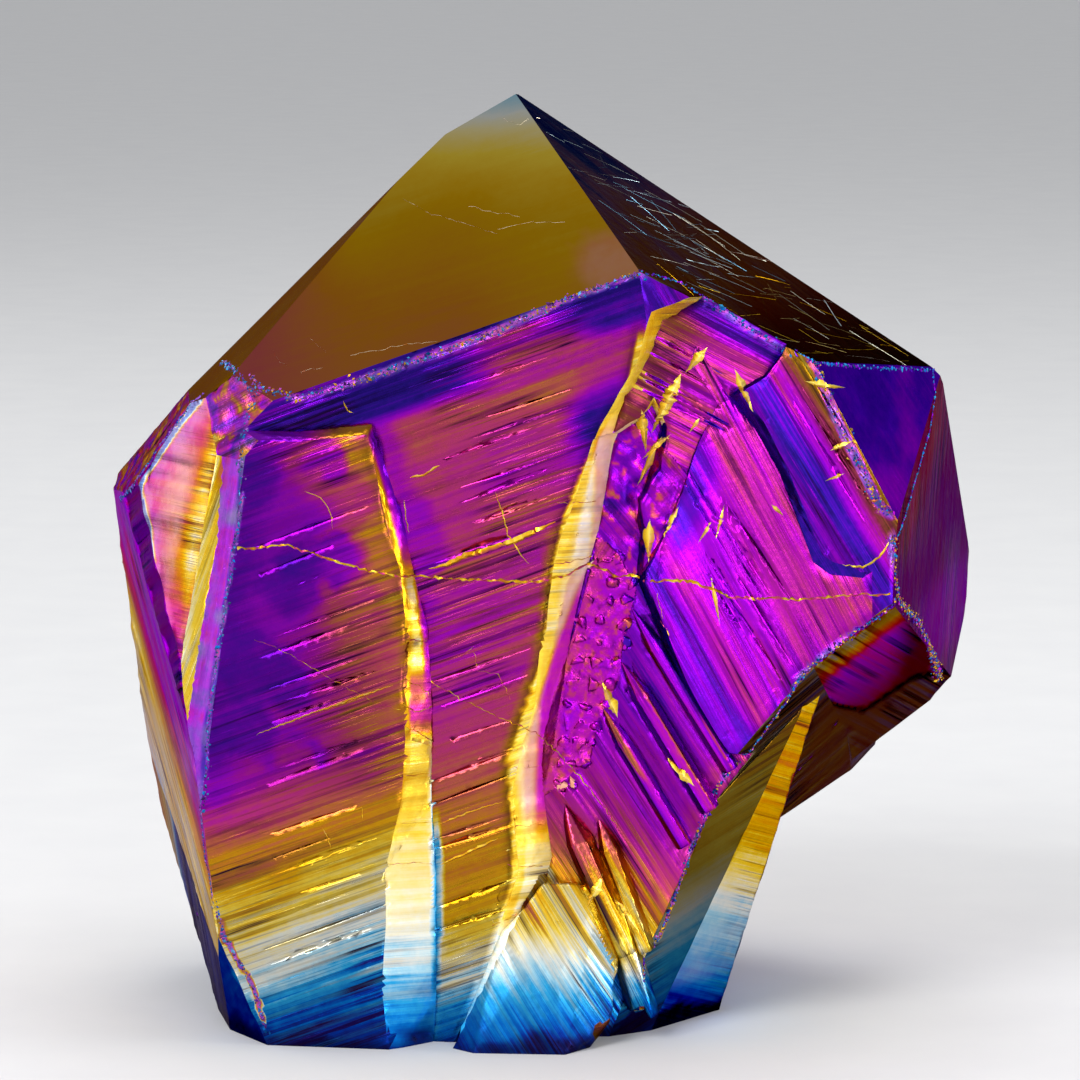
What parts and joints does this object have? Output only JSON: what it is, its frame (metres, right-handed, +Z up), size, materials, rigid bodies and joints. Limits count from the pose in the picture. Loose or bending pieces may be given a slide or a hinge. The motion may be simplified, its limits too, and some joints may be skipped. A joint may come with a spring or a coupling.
{
  "type": "aura amethyst crystal",
  "caption": "Free-standing amethyst point with a rainbow aura coating: polished sloping cap, stepped and lined growth faces, slender foot and a flat sawn base.",
  "frame": {"origin": "centre of the bounding box at the height of the sawn base", "axes": "+Z up from the sawn base to the point, -Y the side with the stepped growth plates, +X toward the overhanging head"},
  "size_m": [0.1088, 0.0772, 0.1134],
  "materials": {
    "aura coating": "quartz with a thin, shiny, rainbow metal film; polished on the cap, ribbed and rough on the growth faces"
  },
  "bodies": {
    "root": {"crystal": "aura coating"}
  },
  "joints": []
}
